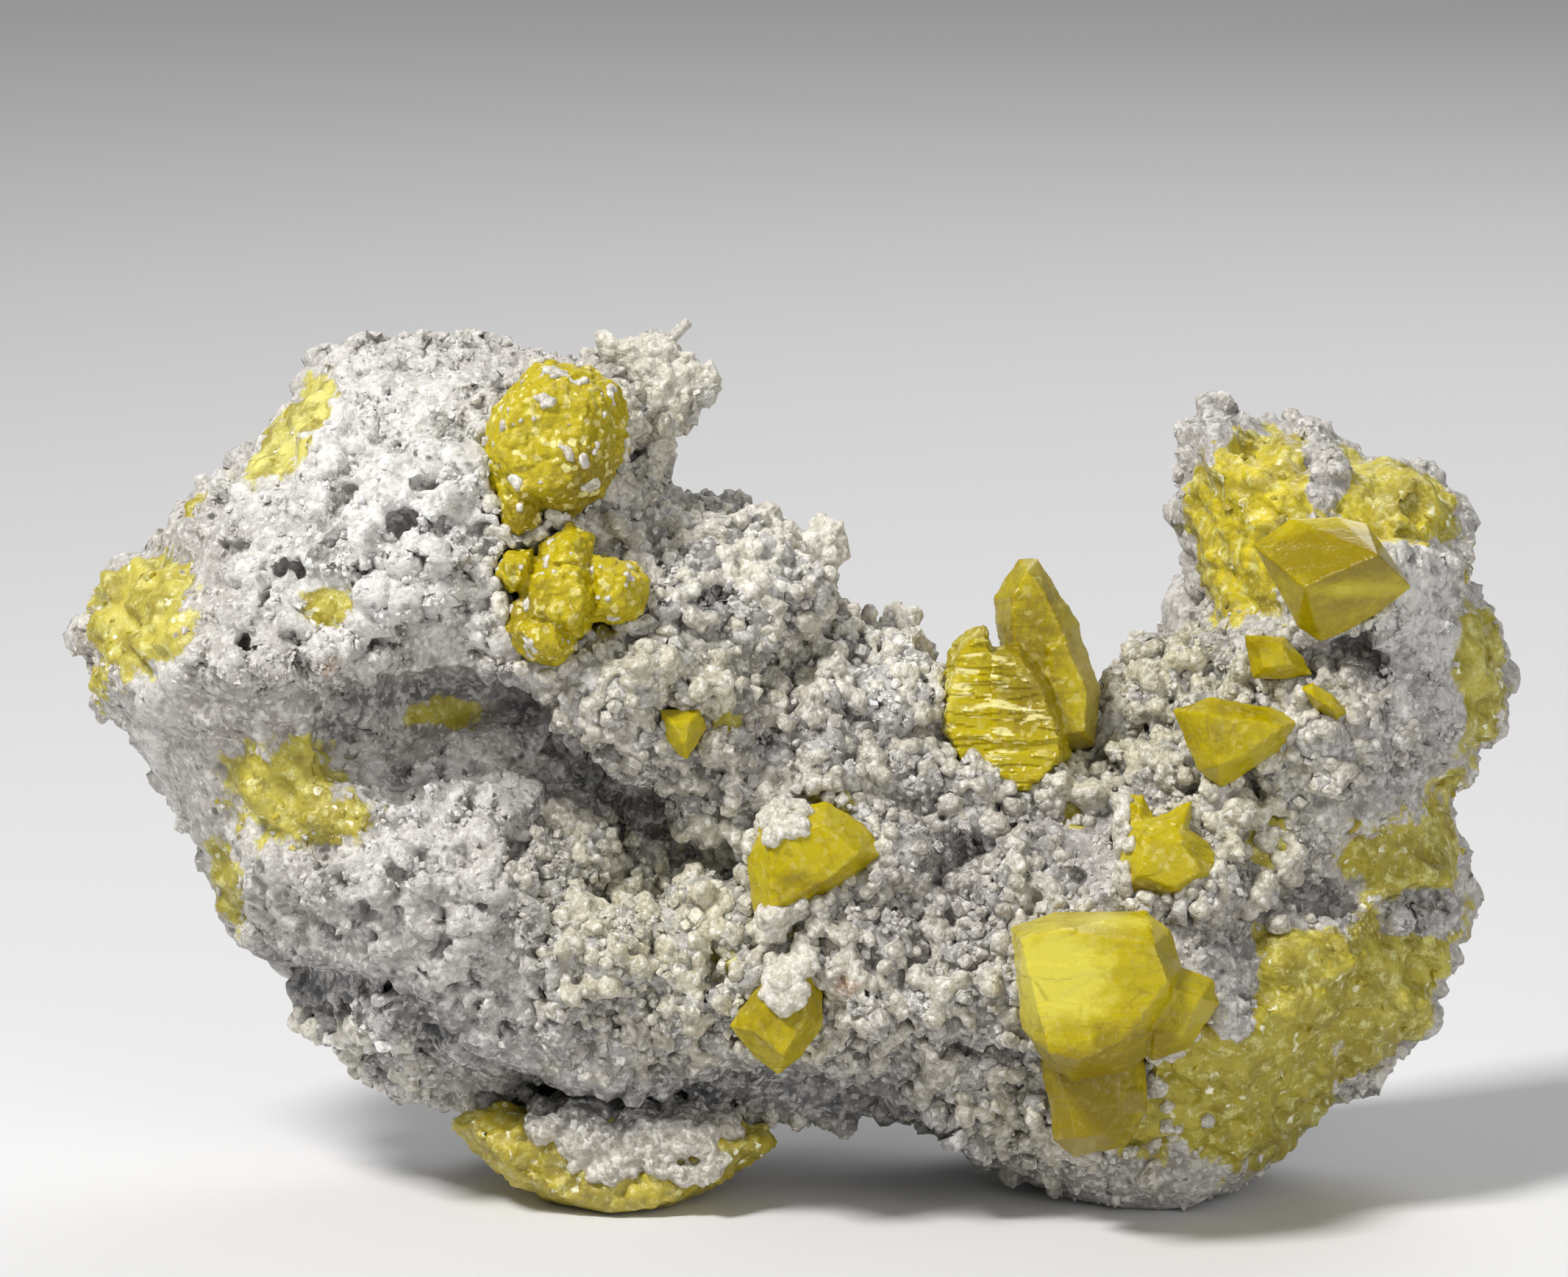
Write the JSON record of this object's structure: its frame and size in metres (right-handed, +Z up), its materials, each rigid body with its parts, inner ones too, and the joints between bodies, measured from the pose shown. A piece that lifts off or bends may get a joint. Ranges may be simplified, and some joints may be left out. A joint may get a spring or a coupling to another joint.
{
  "type": "native sulfur crystal specimen",
  "caption": "Crescent of pale calcite-crusted limestone with a saddle between two horns, studded with translucent yellow native sulfur crystals, standing on low feet.",
  "frame": {"origin": "middle of the bounding box's bottom face, on the floor the feet stand on", "axes": "+X along the length, from the broad horn to the narrow tower, +Y from the crystal face to the back, +Z up"},
  "size_m": [0.121, 0.0594, 0.0727],
  "materials": {
    "calcite_limestone": "sugary calcite grains over chalky white and grey limestone",
    "sulfur": "translucent, resinous gloss"
  },
  "bodies": {
    "root": {"matrix": "calcite_limestone", "sulfur_crystal_top": "sulfur", "sulfur_cluster_left": "sulfur", "sulfur_crystals_saddle": "sulfur", "sulfur_crystal_tower": "sulfur", "sulfur_crystal_step": "sulfur", "sulfur_crystal_chip": "sulfur", "sulfur_crystal_wedge": "sulfur", "sulfur_crystals_star": "sulfur", "sulfur_crystal_large": "sulfur", "sulfur_crystal_vug_upper": "sulfur", "sulfur_crystal_vug_lower": "sulfur", "sulfur_crystal_ledge": "sulfur", "sulfur_lens": "sulfur"}
  },
  "joints": []
}
